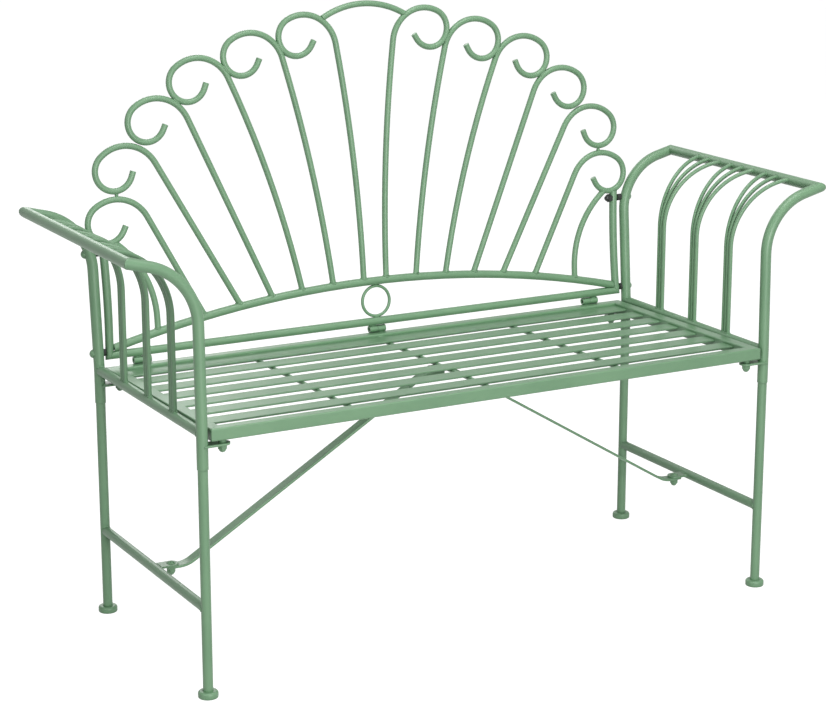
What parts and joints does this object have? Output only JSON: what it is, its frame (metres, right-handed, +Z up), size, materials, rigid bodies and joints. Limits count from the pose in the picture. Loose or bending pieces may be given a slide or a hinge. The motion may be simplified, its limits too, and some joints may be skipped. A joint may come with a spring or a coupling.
{
  "type": "garden bench",
  "caption": "Two-seat garden bench of green steel tube: sunburst scroll back hinged to a slatted seat, flared rod arms, straight legs with round feet",
  "frame": {"origin": "middle of the bench's box at the level of the soles of the feet", "axes": "+X along the bench, to the right as seen from the front and to the sitter's left; +Y to the back, +Z up; the sitter faces -Y"},
  "size_m": [1.272, 0.4943, 0.9992],
  "materials": {
    "green_paint": "satin sage green powder coat",
    "black_rubber": "matte black",
    "black_nuts": "semi-gloss black"
  },
  "bodies": {
    "root": {"arm_post_front_left": "green_paint", "arm_post_front_right": "green_paint", "arm_post_rear_left": "green_paint", "arm_post_rear_right": "green_paint", "arm_rods_front_left": "green_paint", "arm_rods_front_right": "green_paint", "arm_rods_middle_left": "green_paint", "arm_rods_middle_right": "green_paint", "arm_rods_rear_left": "green_paint", "arm_rods_rear_right": "green_paint", "arm_top_rail_left": "green_paint", "arm_top_rail_right": "green_paint", "back_bolts": "green_paint", "back_spacers": "black_rubber", "brace_bolts": "green_paint", "brace_left": "green_paint", "brace_lugs": "green_paint", "brace_right": "green_paint", "cap_nuts": "green_paint", "foot_caps": "green_paint", "hinge_pins": "green_paint", "hinge_seat_knuckles": "green_paint", "leg_front_left": "green_paint", "leg_front_right": "green_paint", "leg_rear_left": "green_paint", "leg_rear_right": "green_paint", "seat_cross_rods": "green_paint", "seat_end_left": "green_paint", "seat_end_right": "green_paint", "seat_front_rail": "green_paint", "seat_lugs": "green_paint", "seat_rear_rail": "green_paint", "seat_slat_1": "green_paint", "seat_slat_2": "green_paint", "seat_slat_3": "green_paint", "seat_slat_4": "green_paint", "seat_slat_5": "green_paint", "seat_slat_6": "green_paint", "seat_slat_7": "green_paint", "seat_spacers": "green_paint", "seat_studs": "green_paint", "side_rail_left": "green_paint", "side_rail_right": "green_paint", "stretcher_left": "green_paint", "stretcher_right": "green_paint"},
    "back": {"back_arch_rail": "green_paint", "back_bottom_rail": "green_paint", "back_cap_nuts": "black_nuts", "back_ring": "green_paint", "back_side_arcs": "green_paint", "back_side_tube_left": "green_paint", "back_side_tube_right": "green_paint", "back_top_arc": "green_paint", "hinge_back_knuckles": "green_paint", "scroll_pair_1": "green_paint", "scroll_pair_2": "green_paint", "scroll_pair_3": "green_paint", "scroll_pair_4": "green_paint", "scroll_pair_5": "green_paint", "scroll_pair_6": "green_paint"}
  },
  "joints": [
    {"name": "back_fold", "type": "hinge", "parent": "root", "child": "back", "pos_m": [0, 0.19584, 0.4313], "axis": [1, 0, 0], "range_deg": [0, 30]}
  ]
}
